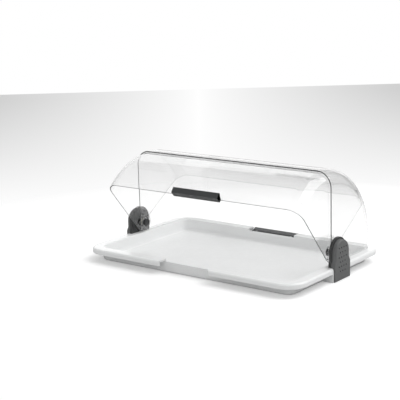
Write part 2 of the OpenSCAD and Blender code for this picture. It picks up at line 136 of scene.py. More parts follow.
class CoverSizes(bpy.types.PropertyGroup):
    half_width: length("Half width", "From the middle to the rear cover's side panel", 250)
    wall: length("Wall", "Thickness of both covers", 2.2)
    gap: length("Gap", "Air between the rear and the front cover", 1.3)
    fillet: length("Fillet", "Outer radius between roof and side panel of the rear cover", 33)
    seat_gap: length("Seat gap", "Gap between a closed cover's foot and the rim", 0.3)
    front_overlap: angle("Front overlap", "How far the closed front cover passes the vertical", 6.8)
    rear_lead: length("Rear edge lead", "How far the rear cover's edge stands ahead of the axis", 8)
    rear_tongue: length("Rear tongue", "How far the rear grip's tongue hangs below the foot", 11.5)
    tongue_width: length("Tongue width", "Width of the tongue", 115)
    bore_radius: length("Bore radius", "Radius of the pivot bores", 4.08)
    rear_boss: length("Rear boss", "Height of the rear cover's pivot boss", 1)
    rear_boss_radius: length("Rear boss radius", "Radius of that boss", 8)
    front_boss: length("Front boss", "Height of the front cover's ribbed boss", 3)
    front_boss_radius: length("Front boss radius", "Radius of that boss without its ribs", 9)
    rib_radius: length("Rib radius", "Outer end of the ribs", 18)
    rib_count: IntProperty(name="Ribs", description="Ribs round a front pivot", default=8, min=1)
    edge_bevel: length("Edge bevel", "Polished bevel on the covers' cut edges", 0.35)


class BracketSizes(bpy.types.PropertyGroup):
    shoulder: length("Shoulder", "How much narrower the outer part is above its foot", 7.2)
    block_shoulder: length("Block shoulder", "How much narrower the block is above its foot", 3.2)
    shoulder_height: length("Shoulder height", "Height of that shoulder", 39)
    ramp: length("Ramp", "Half the height over which the shoulder narrows", 3)
    wall: length("Wall", "Wall of the hollow bracket", 3)
    edge_radius: length("Edge radius", "Rounding of the outer face above the foot", 3)
    block_edge: length("Block edge", "Rounding of the block's inner face", 0.8)
    bore_radius: length("Bore radius", "Radius of the block's bore", 4.05)
    dimple_radius: length("Dimple radius", "Radius of the dimples halfway down their flare", 1.5)
    dimple_flare: fraction("Dimple flare", "How much wider a dimple gets, up from its middle", 0.2)
    dimple_depth: length("Dimple depth", "Depth of the dimples", 1)
    dimple_pitch_y: length("Dimple pitch", "Spacing of the dimples across the face", 9)
    dimple_pitch_z: length("Dimple row pitch", "Spacing of the rows", 9.5)
    dimple_rise: length("Dimple rise", "Lowest row above the pocket's floor", 14)
    dimple_rows: IntProperty(name="Dimple rows", description="Number of rows", default=6, min=1)


class GripSizes(bpy.types.PropertyGroup):
    taper: length("Taper", "How much shorter a grip is at each end of its outer edge", 7)
    out: length("Reach", "How far a grip stands out from the cover", 11)
    lean: length("Lean", "How far its outer face leans out", 3)
    height: length("Height", "Height at its outer edge", 12.7)
    top_fall: length("Top fall", "How much lower its top is at the cover", 4.7)
    under: length("Under", "How far it reaches below the edge that it holds", 3)
    strip: length("Strip", "Thickness of the strip inside the cover", 2.2)
    fit: length("Fit", "Clearance of the grip on the cover", 0.12)
    edge_radius: length("Edge radius", "Rounding of its edges", 0.9)
    strip_edge: length("Strip edge", "Rounding of the strip's edges", 0.3)
    crown: length("Crown", "Flat cut across the top of its outer edge", 1.2)
    root_step: length("Root step", "How far its top ends from the cover's edge", 0.5)


class KnobSizes(bpy.types.PropertyGroup):
    notches: IntProperty(name="Notches", description="Grip notches round a knob", default=16, min=3)
    notch_depth: length("Notch depth", "Depth of a notch", 0.8)
    cap_bevel: length("Cap bevel", "Rounding of a knob's ends", 0.9)
    cap_inset: length("Cap inset", "Rim left round the sunk end face", 2)
    cap_depth: length("Cap depth", "How deep the end face is sunk", 0.6)
    cap_taper: fraction("Cap taper", "Width of the sunk face, as a share of its mouth", 0.94)


class Finishes(bpy.types.PropertyGroup):
    tray_white: colour("Tray white", "White of the moulded tray", "#F1F2F2")
    cover_clear: colour("Clear cover", "Tint of the clear covers", "#FAFAFA")
    # The grey tint on the covers' cut edges is painted shade for how dark those edges look
    cover_edge: colour("Cover edge", "Tint of the covers' cut edges", "#A8AAAA")
    lamp_tint: colour("Lamp tint", "Tint of the lamps' light behind the covers", "#FCFCFC")
    bracket_grey: colour("Bracket grey", "Grey of the brackets", "#5C5D5D")
    # The blocks share the brackets' grey; this darker copy of it is painted shade behind the brackets
    block_grey: colour("Block grey", "Grey of the blocks behind the brackets", "#2F3030")
    # Near black on the dimples' floors: painted shade in the recesses
    dimple_grey: colour("Dimple grey", "Grey of the dimples' rough floors", "#0E0E0F")
    grip_grey: colour("Grip grey", "Grey of the grips", "#2A2C2D")
    knob_grey: colour("Knob black", "Black of the knobs and spacers", "#2A2B2C")
    fastener_steel: colour("Zinc", "Zinc plate of the bolts and screws", "#B9BBBC")
    washer_nylon: colour("Nylon", "Natural nylon of the washers", "#E6E3D8")
    floor_white: colour("Floor", "White of the studio floor", "#F2F2F2")


# ---- modelling by hand, in short words ----


def deselect():
    bpy.ops.object.select_all(action="DESELECT")


def select_only(piece):
    deselect()
    piece.select_set(True)
    bpy.context.view_layer.objects.active = piece


def freeze(piece):
    """Write a piece's place, turn and scale into its mesh."""
    select_only(piece)
    bpy.ops.object.transform_apply(location=True, rotation=True, scale=True)


def tidy_normals(piece):
    with editing(piece):
        bpy.ops.mesh.normals_make_consistent(inside=False)


@contextmanager
def editing(piece, parts="FACE"):
    """Edit a piece's mesh, with all of it selected."""
    select_only(piece)
    bpy.ops.object.mode_set(mode="EDIT")
    bpy.ops.mesh.select_mode(type=parts)
    bpy.ops.mesh.select_all(action="SELECT")
    yield
    bpy.ops.object.mode_set(mode="OBJECT")


def pick(piece, test, parts="faces"):
    """Select only the parts of the piece being edited that pass the test."""
    bpy.ops.mesh.select_all(action="DESELECT")
    mesh = bmesh.from_edit_mesh(piece.data)
    for part in filter(test, getattr(mesh, parts)):
        part.select_set(True)
    mesh.select_flush_mode()
    bmesh.update_edit_mesh(piece.data)


def middle_of(face):
    return face.calc_center_median()


def pull_out(step):
    bpy.ops.mesh.extrude_region_move(TRANSFORM_OT_translate={"value": step})


def started(name):
    """Name the primitive that was just added, with its place in its mesh."""
    piece = bpy.context.active_object
    piece.name = piece.data.name = name
    freeze(piece)
    return piece


def draw_line(name, points):
    """Extrude one vertex from point to point."""
    deselect()
    bpy.ops.mesh.primitive_plane_add(size=MM, location=points[0])
    piece = started(name)
    with editing(piece, "VERT"):
        bpy.ops.mesh.merge(type="CENTER")
        for here, there in zip(points, points[1:]):
            pull_out(Vector(there) - Vector(here))
    return piece


def draw_prism(name, points, along):
    """Fill a closed outline and pull it along a vector into a solid."""
    piece = draw_line(name, points)
    with editing(piece, "VERT"):
        bpy.ops.mesh.edge_face_add()
        pull_out(along)
    tidy_normals(piece)
    return piece


def draw_box(name, low, high):
    deselect()
    low, high = Vector(low), Vector(high)
    bpy.ops.mesh.primitive_cube_add(size=1, location=(low + high) / 2, scale=high - low)
    return started(name)


def modify(piece, kind, **settings):
    """Add a modifier with its settings and apply it."""
    select_only(piece)
    modifier = piece.modifiers.new(kind, kind)
    for key, value in settings.items():
        setattr(modifier, key, value)
    bpy.ops.object.modifier_apply(modifier=modifier.name)


def combine(piece, other, operation="DIFFERENCE"):
    """Cut the other solid from the piece, or unite them, and delete the other."""
    modify(piece, "BOOLEAN", operation=operation, solver="EXACT", object=other)
    bpy.data.objects.remove(other)


def round_edges(piece, width, segments, limit):
    modify(
        piece, "BEVEL", width=width, segments=segments, limit_method="ANGLE",
        angle_limit=radians(limit), use_clamp_overlap=True, miter_outer="MITER_ARC",
    )


def mirrored(piece, name):
    """Copy a piece with its own mesh to the other side of the middle."""
    select_only(piece)
    bpy.ops.object.duplicate()
    other = bpy.context.active_object
    other.name = other.data.name = name
    other.scale.x = -1
    freeze(other)
    tidy_normals(other)
    return other


def add_finishes(piece, *finishes):
    for finish in finishes:
        piece.data.materials.append(material_of(finish))


def finish_piece(piece, body, slot, node, finish=None, smooth=32):
    """Shade a piece, give it a finish unless it has one (the slot's unless another is named), hang it on its body
    and hide its CAD node.
    """
    if not piece.data.materials:
        add_finishes(piece, finish or slot)
    select_only(piece)
    bpy.ops.object.shade_smooth_by_angle(angle=radians(smooth))
    modify(piece, "WEIGHTED_NORMAL", keep_sharp=True)
    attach(piece, body)
    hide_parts(node)


def arc(centre, radius, start, end, count):
    """Points of an arc in a plane, as pairs, from start to end in degrees."""
    turns = [radians(start + (end - start) * i / count) for i in range(count + 1)]
    return [(centre[0] + radius * cos(t), centre[1] + radius * sin(t)) for t in turns]


def opened(piece):
    """Turn a closed front piece about the pivot to where the cover stands open."""
    turn = Matrix.Rotation(-FRONT_OPEN, 4, "X")
    piece.matrix_world = Matrix.Translation(PIVOT) @ turn @ Matrix.Translation(-PIVOT)
    freeze(piece)


# ---- materials ----


def add_node(tree, kind, inputs=None, **settings):
    """Add a node with its settings; an input takes a value or another node's output."""
    node = tree.nodes.new(kind)
    for key, value in settings.items():
        setattr(node, key, value)
    for socket, value in (inputs or {}).items():
        if isinstance(value, bpy.types.NodeSocket):
            tree.links.new(value, node.inputs[socket])
        else:
            node.inputs[socket].default_value = value
    return node


def tone_of(finish):
    return tuple(getattr(bpy.context.scene.display_finishes, finish))


def new_material(name):
    material = bpy.data.materials.new(name)
    material.use_nodes = True
    material.node_tree.nodes.clear()
    tree = material.node_tree
    place = add_node(tree, "ShaderNodeTexCoord").outputs["Object"]
    return material, tree, place


def noise(tree, place, size, detail=2):
    """Noise whose blotches are about size metres wide."""
    inputs = {"Vector": place, "Scale": 1 / size, "Detail": detail}
    return add_node(tree, "ShaderNodeTexNoise", inputs).outputs["Fac"]


def remap(tree, value, low, high, start=0.3, end=0.7):
    """Spread the middle of a noise over low to high."""
    inputs = {"Value": value, "From Min": start, "From Max": end, "To Min": low, "To Max": high}
    return add_node(tree, "ShaderNodeMapRange", inputs).outputs["Result"]


def bump(tree, height, depth, normal=None):
    inputs = {"Height": height, "Distance": depth}
    if normal:
        inputs["Normal"] = normal
    return add_node(tree, "ShaderNodeBump", inputs).outputs["Normal"]


def shaded(tree, tone, dark, bright, fac):
    """The tone, varied a little between a darker and a brighter share of itself."""
    darker = tuple(c * dark for c in tone[:3]) + (1.0,)
    brighter = tuple(min(1.0, c * bright) for c in tone[:3]) + (1.0,)
    inputs = {"Factor": fac, 6: darker, 7: brighter}
    return add_node(tree, "ShaderNodeMix", inputs, data_type="RGBA").outputs[2]


def show(tree, shader):
    add_node(tree, "ShaderNodeOutputMaterial", {"Surface": shader})


def surface(tree, inputs):
    return add_node(tree, "ShaderNodeBsdfPrincipled", inputs).outputs["BSDF"]


def blend(tree, share, first, second):
    mix = add_node(tree, "ShaderNodeMixShader", {0: share, 1: first, 2: second})
    return mix.outputs["Shader"]


def moulded_gloss_styrene(tone):
    """High-impact polystyrene from a polished mould: glossy, with slow waves where it shrank."""
    material, tree, place = new_material("gloss_white_styrene")
    waves = noise(tree, place, 38 * MM, 1)
    handling = noise(tree, place, 9 * MM, 4)
    skin = noise(tree, place, 0.9 * MM)
    inputs = {
        "Base Color": shaded(tree, tone, 0.975, 1.0, remap(tree, noise(tree, place, 70 * MM), 0, 1)),
        "Roughness": remap(tree, handling, 0.13, 0.24),
        "IOR": 1.55,
        "Normal": bump(tree, skin, 0.006 * MM, bump(tree, waves, 0.12 * MM)),
    }
    show(tree, surface(tree, inputs))
    return material


def clear_polycarbonate(tone, name, roughness):
    """Injection-moulded polycarbonate: clear, hard gloss, bends what is behind it a little.

    Lamps shine through it, so that what it covers isn't in the dark.
    """
    material, tree, place = new_material(name)
    inputs = {
        "Base Color": tone,
        "Roughness": roughness,
        "IOR": 1.585,
        "Transmission Weight": 1.0,
        "Normal": bump(tree, noise(tree, place, 45 * MM, 1), 0.05 * MM),
    }
    glass = surface(tree, inputs)
    tint = {"Color": tone_of("lamp_tint")}
    lamp_light = add_node(tree, "ShaderNodeBsdfTransparent", tint).outputs["BSDF"]
    shadow = add_node(tree, "ShaderNodeLightPath").outputs["Is Shadow Ray"]
    show(tree, blend(tree, shadow, glass, lamp_light))
    return material


def grained_plastic(tone, name, grain, depth, rough_low, rough_high):
    """ABS from a spark-eroded mould: a fine even grain, a little shinier where it is touched."""
    material, tree, place = new_material(name)
    fine = noise(tree, place, grain * MM, 3)
    worn = noise(tree, place, 16 * MM, 3)
    inputs = {
        "Base Color": shaded(tree, tone, 0.88, 1.1, remap(tree, worn, 0, 1)),
        "Roughness": remap(tree, worn, rough_low, rough_high),
        "IOR": 1.53,
        "Normal": bump(tree, fine, depth * MM),
    }
    show(tree, surface(tree, inputs))
    return material


def zinc_plated_steel(tone):
    """Bright zinc plate on turned steel: metallic, with fine cloudy crystals."""
    material, tree, place = new_material("zinc_plated_steel")
    cloud = noise(tree, place, 1.2 * MM, 3)
    inputs = {
        "Base Color": shaded(tree, tone, 0.85, 1.05, remap(tree, cloud, 0, 1)),
        "Metallic": 1.0,
        "Roughness": remap(tree, cloud, 0.25, 0.42),
        "Normal": bump(tree, noise(tree, place, 0.3 * MM), 0.004 * MM),
    }
    show(tree, surface(tree, inputs))
    return material


def natural_nylon(tone):
    """Natural nylon: milky and waxy."""
    material, tree, place = new_material("natural_nylon")
    milk = noise(tree, place, 4 * MM)
    inputs = {
        "Base Color": shaded(tree, tone, 0.94, 1.0, remap(tree, milk, 0, 1)),
        "Roughness": remap(tree, milk, 0.35, 0.48),
        "IOR": 1.53,
        "Normal": bump(tree, noise(tree, place, 0.5 * MM), 0.005 * MM),
    }
    show(tree, surface(tree, inputs))
    return material


# Each finish: its maker and what that takes besides the colour. For the grained plastics these are
# the name, the grain's width and depth in millimetres, and the lowest and highest roughness
RECIPES = {
    "tray_white": (moulded_gloss_styrene,),
    "cover_clear": (clear_polycarbonate, "clear_polycarbonate", 0.015),
    # frosted cut edges; their grey tint is painted shade
    "cover_edge": (clear_polycarbonate, "cut_polycarbonate", 0.3),
    "bracket_grey": (grained_plastic, "grained_abs_grey", 0.7, 0.05, 0.42, 0.6),
    # the brackets' grained ABS again, darker: painted shade on the blocks
    "block_grey": (grained_plastic, "grained_abs_dark", 0.7, 0.05, 0.45, 0.62),
    # coarse, rough grain on the dimples' floors; their near black is painted shade
    "dimple_grey": (grained_plastic, "coarse_abs_dark", 0.4, 0.08, 0.6, 0.75),
    "grip_grey": (grained_plastic, "satin_abs_charcoal", 0.5, 0.02, 0.3, 0.45),
    "knob_grey": (grained_plastic, "satin_nylon_black", 0.4, 0.02, 0.28, 0.4),
    "fastener_steel": (zinc_plated_steel,),
    "washer_nylon": (natural_nylon,),
}
made = {}


def material_of(finish):
    """The material of a finish, made on first use."""
    if finish not in made:
        maker, *details = RECIPES[finish]
        made[finish] = maker(tone_of(finish), *details)
    return made[finish]


# ---- tray ----


def grow(steps):
    """Take the selected face through steps of (inward, up); a step with no inward is a wall."""
    for inward, up in steps:
        if inward:
            bpy.ops.mesh.inset(thickness=inward, use_even_offset=True)
        else:
            bpy.ops.mesh.extrude_region()
        if up:
            bpy.ops.transform.translate(value=(0, 0, up))


def arc_steps(radius, start, end, count=8):
    """Steps of (inward, up) round an arc of the section, outward being 0 degrees."""
    points = arc((0, 0), radius, start, end, count)
    return [(a[0] - b[0], b[1] - a[1]) for a, b in zip(points, points[1:])]


def tray_body(size):
    """The rim, lip, walls and floor: one outline, taken inwards ring by ring on both sides."""
    top, lip_z = TRAY_HIGH.z, TRAY_HIGH.z - size.lip_height
    span = TRAY_HIGH - TRAY_LOW
    deselect()
    bpy.ops.mesh.primitive_plane_add(size=1, location=(0, 0, lip_z))
    bpy.context.active_object.scale = (span.x, span.y, 1)
    tray = started("serving_tray")
    with editing(tray, "VERT"):
        bpy.ops.mesh.bevel(offset=size.corner_radius, segments=24, affect="VERTICES")
    wall_out = size.rim_width - size.wall_thickness
    inside_wall = top - size.rim_inner_radius - size.floor_thickness - size.floor_fillet
    outside_wall = top - size.rim_thickness - size.foot_radius
    with editing(tray):
        pick(tray, lambda face: True)
        grow([(0, size.lip_height - size.rim_edge_radius)])
        grow(arc_steps(size.rim_edge_radius, 0, 90))
        grow([(size.rim_width - size.rim_edge_radius - size.rim_inner_radius, 0)])
        grow(arc_steps(size.rim_inner_radius, 90, 180, 5))
        grow([(size.wall_lean, -inside_wall)])
        grow(arc_steps(size.floor_fillet, 0, -90, 10))
        pick(tray, lambda face: abs(middle_of(face).z - lip_z) < NEAR and len(face.verts) > 4)
        grow([(size.lip_thickness, 0), (0, size.lip_height - size.rim_thickness)])
        grow([(wall_out - size.lip_thickness, 0), (size.wall_lean, -outside_wall)])
        grow(arc_steps(size.foot_radius, 0, -90))
    tidy_normals(tray)
    return tray


def recess_cutter(size, side):
    """The solid that a finger recess takes out of the front (-1) or rear (1) rim."""
    edge = TRAY_HIGH.y
    half, deep = size.recess_width / 2, size.rim_width - size.wall_thickness
    mouth, inner = size.mouth_radius, size.recess_radius
    right = [(half + mouth, edge + 2 * MM)]
    right += arc((half + mouth, edge - mouth), mouth, 90, 180, 8)
    right += arc((half - inner, edge - deep + inner), inner, 0, -90, 8)
    outline = right + [(-x, y) for x, y in reversed(right)]
    points = [(x, side * y, -MM) for x, y in outline]
    return draw_prism("recess_cutter", points, (0, 0, TRAY_HIGH.z + 2 * MM))


def wall_top_cutter(size, side):
    """The solid that lowers the wall's top in a recess."""
    edge = TRAY_HIGH.y
    half, top = size.recess_width / 2, TRAY_HIGH.z
    y0, y1 = sorted((side * (edge - size.rim_width - 3 * MM), side * (edge - size.recess_radius)))
    return draw_box("wall_top", (-half, y0, top - size.recess_drop), (half, y1, top + MM))


def pocket(tray, size, side):
    """A bracket's pocket: two fins and a back under the rim, open to the side."""
    reach = TRAY_HIGH.x
    half = (BRACKET_HIGH.y - BRACKET_LOW.y) / 2 + size.pocket_fit
    wide = half + size.fin_thickness
    wall_x = reach - size.rim_width + size.wall_thickness
    edge = size.rim_edge_radius
    section = [(wall_x - size.wall_thickness / 2, 0), (reach - NEAR, 0)]
    section += arc((reach - edge, TRAY_HIGH.z - edge), edge - NEAR, 0, 90, 8)
    section += [(wall_x - size.wall_thickness / 2, TRAY_HIGH.z - NEAR)]
    block = draw_prism("pocket_block", [(side * x, -wide, z) for x, z in section], (0, 2 * wide, 0))
    combine(tray, block, "UNION")
    far, back_x = reach + 9 * MM, BLOCK_LOW.x - size.pocket_fit
    cuts = [
        ((back_x, size.pocket_floor), (far, TRAY_HIGH.z + MM)),
        ((reach - size.pocket_floor_inset, -MM), (far, TRAY_HIGH.z + MM)),
        ((wall_x, -MM), (back_x - size.pocket_back, TRAY_HIGH.z - size.rim_thickness)),
    ]
    for (x0, z0), (x1, z1) in cuts:
        a, b = sorted((side * x0, side * x1))
        combine(tray, draw_box("pocket_cutter", (a, -half, z0), (b, half, z1)))
    screw_x, screw_y = side * (BLOCK_LOW.x + BLOCK_HIGH.x) / 2, SCREWS_HIGH.y - size.screw_head_radius
    holes = (
        (size.screw_head_radius, SCREWS_LOW.z + size.screw_head_height + size.screw_play),
        (size.screw_head_radius / 2, size.pocket_floor + MM),
    )
    for y in (-screw_y, screw_y):
        for radius, top in holes:
            deselect()
            bpy.ops.mesh.primitive_cylinder_add(
                vertices=32, radius=radius + size.screw_play, depth=top + MM,
                location=(screw_x, y, (top - MM) / 2),
            )
            combine(tray, started("screw_hole"))


class DISPLAY_OT_tray(bpy.types.Operator):
    """Model the serving tray with its finger recesses and bracket pockets"""

    bl_idname = "bread_display.tray"
    bl_label = "Serving tray"

    def execute(self, context):
        size = context.scene.display_tray
        tray = tray_body(size)
        for side in (-1, 1):
            combine(tray, recess_cutter(size, side))
            combine(tray, wall_top_cutter(size, side))
            pocket(tray, size, side)
        finish_piece(tray, "base", "tray_white", "tray", smooth=35)
        return {"FINISHED"}


# ---- covers ----

SPIN_STEP = 1.5  # degrees between two ribs of faces round a cover
HUB_LIFT = MM  # how far above its foot a cover's round hub ends


def spin_line(line, turn):
    """Spin a drawn line round the pivot axis into a skin."""
    with editing(line, "VERT"):
        bpy.ops.mesh.spin(
            steps=round(abs(turn) / SPIN_STEP), angle=radians(turn), center=PIVOT, axis=(-1, 0, 0)
        )


def spun_shell(name, half, radius, fillet, rings, tongue_half, first_turn, second_turn):
    """Spin a cover's section round the pivot from straight down, and its hub round the rest."""

    def down(x, r):
        return (x, 0, PIVOT.z - r)

    side = [(half, r) for r in rings]
    corner = arc((half - fillet, radius - fillet), fillet, 0, 90, 14)
    right = side + corner + [(tongue_half, radius)]
    section = right + [(-x, r) for x, r in reversed(right)]
    shell = draw_line(name, [down(x, r) for x, r in section])
    spin_line(shell, first_turn)
    for sign in (1, -1):
        disc = draw_line("hub", [down(sign * half, r) for r in rings])
        spin_line(disc, second_turn)
        select_only(shell)
        disc.select_set(True)
        bpy.ops.object.join()
    with editing(shell, "VERT"):
        bpy.ops.mesh.remove_doubles(threshold=MM / 100)
    return shell


def trim(shell, test, point, normal):
    """Cut away what lies behind a plane, among the faces that pass the test."""
    point, normal = Vector(point), Vector(normal)
    with editing(shell):
        pick(shell, test)
        bpy.ops.mesh.bisect(plane_co=point, plane_no=normal)
        pick(shell, lambda face: test(face) and (middle_of(face) - point).dot(normal) < 0)
        bpy.ops.mesh.delete(type="FACE")


def thicken(shell, size):
    """Give a shell its wall, inwards; its cut edges take the second material, frosted and tinted grey, the grey
    being painted shade.
    """
    tidy_normals(shell)
    add_finishes(shell, "cover_clear", "cover_edge")
    modify(
        shell, "SOLIDIFY", thickness=size.wall, offset=-1, use_even_offset=True,
        use_quality_normals=True, material_offset_rim=1,
    )


def from_axis(point):
    return hypot(point.y - PIVOT.y, point.z - PIVOT.z)


def raise_hub(shell, face_x, height, test):
    """Pull the hub faces at face_x that pass the test along X."""
    for sign in (1, -1):
        with editing(shell):
            pick(
                shell,
                lambda face: abs(middle_of(face).x - sign * face_x) < NEAR
                and abs(face.normal.x) > 0.9
                and test(middle_of(face)),
            )
            pull_out((sign * height, 0, 0))


class DISPLAY_OT_rear_cover(bpy.types.Operator):
    """Model the clear rear cover with the tongue that carries its grip"""

    bl_idname = "bread_display.rear_cover"
    bl_label = "Rear cover"

    def execute(self, context):
        size = context.scene.display_covers
        seat = TRAY_HIGH.z + size.seat_gap
        tongue = size.tongue_width / 2
        tongue_z = seat - size.rear_tongue
        rings = [size.bore_radius, size.rear_boss_radius, PIVOT.z - seat - HUB_LIFT]
        shell = spun_shell(
            "rear_cover_shell", size.half_width, REAR_HIGH.z - PIVOT.z, size.fillet, rings, tongue,
            270, -90,
        )
        trim(shell, lambda f: abs(middle_of(f).x) > tongue, (0, 0, seat), (0, 0, 1))
        trim(shell, lambda f: abs(middle_of(f).x) < tongue, (0, 0, tongue_z), (0, 0, 1))
        trim(shell, lambda f: True, (0, -size.rear_lead, 0), (0, 1, 0))
        thicken(shell, size)
        raise_hub(shell, size.half_width, size.rear_boss, lambda p: from_axis(p) < size.rear_boss_radius)
        round_edges(shell, size.edge_bevel, 2, 40)
        finish_piece(shell, "rear_lid", "cover_clear", "rear_cover")
        return {"FINISHED"}


class DISPLAY_OT_front_cover(bpy.types.Operator):
    """Model the clear front cover with its ribbed pivot bosses, standing open"""

    bl_idname = "bread_display.front_cover"
    bl_label = "Front cover"

    def execute(self, context):
        size = context.scene.display_covers
        seat = TRAY_HIGH.z + size.seat_gap
        inset = size.wall + size.gap
        half = size.half_width - inset
        hub = PIVOT.z - seat - HUB_LIFT
        rings = [size.bore_radius, size.front_boss_radius, size.rib_radius, hub]
        turn = 180 + degrees(size.front_overlap)
        shell = spun_shell(
            "front_cover_shell", half, REAR_HIGH.z - PIVOT.z - inset, size.fillet - inset, rings,
            half - size.fillet, -turn, 360 - turn,
        )
        trim(shell, lambda f: True, (0, 0, seat), (0, 0, 1))
        thicken(shell, size)
        rib_turn, rib_half = 360 / size.rib_count, 3 * SPIN_STEP

        def on_boss(point):
            turned = degrees(atan2(point.z - PIVOT.z, point.y)) % rib_turn
            rib = min(turned, rib_turn - turned) < rib_half
            far = from_axis(point)
            return far < size.front_boss_radius or (rib and far < size.rib_radius)

        raise_hub(shell, half - size.wall, -size.front_boss, on_boss)
        round_edges(shell, size.edge_bevel, 2, 40)
        opened(shell)
        finish_piece(shell, "front_lid", "cover_clear", "front_cover")
        return {"FINISHED"}


# ---- grips ----


def grip_pieces(size, cover, edge_y, drop, radius, names, length_x):
    """A grip and the strip that clamps it, at the rear of the axis and closed.

    Their section is drawn from the cover's edge, out and up.
    """
    wall = cover.wall
    inner = -wall - size.strip
    top = size.height - size.under
    root = top - size.top_fall

    def face(r, up):
        """How far out the cover's face of radius r is, at a height above the edge."""
        return sqrt(r * r - (drop - up) ** 2) - edge_y

    outer_face = [(face(radius + size.fit, up), up) for up in (root, root / 2, -size.fit)]
    inner_face = [(face(radius - wall - size.fit, up), up) for up in (0, root / 2, root)]
    grip_section = [
        (inner, -size.under),
        (size.out - size.lean, -size.under),
        (size.out, top - size.crown),
        (size.out - size.crown, top),
        (size.root_step, root),
        *outer_face,
        (inner, -size.fit),
    ]
    strip_section = [(inner, 0), *inner_face, (inner, root)]
    pieces = []
    half = length_x / 2
    for name, section in zip(names, (grip_section, strip_section)):
        points = [(-half, edge_y + y, PIVOT.z - drop + z) for y, z in section]
        piece = draw_prism(name, points, (length_x, 0, 0))
        with editing(piece):
            for sign in (1, -1):
                bpy.ops.mesh.select_all(action="SELECT")
                bpy.ops.mesh.bisect(
                    plane_co=(sign * half, edge_y, 0), plane_no=(sign * size.out, size.taper, 0),
                    clear_outer=True, use_fill=True,
                )
        tidy_normals(piece)
        pieces.append(piece)
    round_edges(pieces[0], size.edge_radius, 3, 35)
    round_edges(pieces[1], size.strip_edge, 2, 35)
    return pieces


class DISPLAY_OT_grips(bpy.types.Operator):
    """Model both grips and the strips that clamp them to the covers"""

    bl_idname = "bread_display.grips"
    bl_label = "Grips"

    def execute(self, context):
        size, cover = context.scene.display_grips, context.scene.display_covers
        low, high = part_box("rear_grip")
        radius = REAR_HIGH.z - PIVOT.z
        seat_drop = PIVOT.z - TRAY_HIGH.z - cover.seat_gap
        cases = {
            "rear": (radius, seat_drop + cover.rear_tongue, "rear_lid"),
            "front": (radius - cover.wall - cover.gap, seat_drop, "front_lid"),
        }
        for end, (r, drop, body) in cases.items():
            edge_y = sqrt(r * r - drop * drop)
            names = (f"{end}_grip_bar", f"{end}_clamp_strip")
            pieces = grip_pieces(size, cover, edge_y, drop, r, names, high.x - low.x)
            for piece, node in zip(pieces, (f"{end}_grip", f"{end}_grip_strip")):
                if end == "front":
                    piece.scale.y = -1
                    freeze(piece)
                    tidy_normals(piece)
                    opened(piece)
                finish_piece(piece, body, "grip_grey", node)
        return {"FINISHED"}


# ---- brackets ----

# Shares of the full rounding: at a bracket's foot, on its shoulder, and at a block's seam
FOOT_SHARE, RAMP_SHARE, SEAM_SHARE = 0.2, 0.6, 0.5


def tombstone(size, top, low_z, arch_z, inset=0):
    """An outline as pairs of (y, z): a foot, a shoulder and a round arch, all drawn in by the inset."""
    right = [
        (BRACKET_HIGH.y - inset, low_z),
        (BRACKET_HIGH.y - inset, size.shoulder_height - size.ramp),
        (top - inset, size.shoulder_height + size.ramp),
    ]
    arch = arc((0, arch_z), top - inset, 0, 180, 48)
    return right + arch + [(-y, z) for y, z in reversed(right)]


def round_face(piece, face_x, width, segments, shares):
    """Round the edges of the face at face_x, each by its share of the width.

    The shares are pairs of a height and the share of the edges above it, from low to high.
    """

    def share_of(edge):
        middle = sum(vertex.co.z for vertex in edge.verts) / 2
        return [part for height, part in shares if middle > height][-1]

    def chosen(edge):
        return all(abs(vertex.co.x - face_x) < NEAR for vertex in edge.verts) and share_of(edge) == part

    with editing(piece, "EDGE"):
        for _, part in shares:
            pick(piece, chosen, "edges")
            bpy.ops.transform.edge_bevelweight(value=part)
    modify(
        piece, "BEVEL", width=width, segments=segments, limit_method="WEIGHT", use_clamp_overlap=True
    )


def dimple_spots(size, start_z):
    """Staggered rows of three and four dimples."""
    for row in range(size.dimple_rows):
        count = 3 + row % 2
        z = start_z + row * size.dimple_pitch_z
        for column in range(count):
            yield (column - (count - 1) / 2) * size.dimple_pitch_y, z


def sink_dimples(shell, size, face_x, start_z):
    """Cut the dimples, one cone copied to every spot; their floors take the second material, a near black that is
    painted shade in the dimples.
    """
    radius, depth = size.dimple_radius, size.dimple_depth
    deselect()
    bpy.ops.mesh.primitive_cone_add(
        vertices=20, radius1=(1 - size.dimple_flare) * radius, radius2=(1 + size.dimple_flare) * radius,
        depth=2 * depth, rotation=(0, pi / 2, 0), location=(face_x, 0, start_z),
    )
    dimples = started("dimples")
    with editing(dimples):
        here = (0, start_z)
        for index, (y, z) in enumerate(dimple_spots(size, start_z)):
            step = (0, y - here[0], z - here[1])
            here = (y, z)
            if index:
                bpy.ops.mesh.duplicate_move(TRANSFORM_OT_translate={"value": step})
            else:
                bpy.ops.transform.translate(value=step)
    combine(shell, dimples)
    add_finishes(shell, "bracket_grey", "dimple_grey")

    def in_dimple(face):
        middle = middle_of(face)
        return (
            NEAR < face_x - middle.x < depth + NEAR
            and face.calc_area() < 2 * pi * radius**2
            and any(hypot(middle.y - y, middle.z - z) < radius for y, z in dimple_spots(size, start_z))
        )

    with editing(shell):
        pick(shell, in_dimple)
        shell.active_material_index = 1
        bpy.ops.object.material_slot_assign()


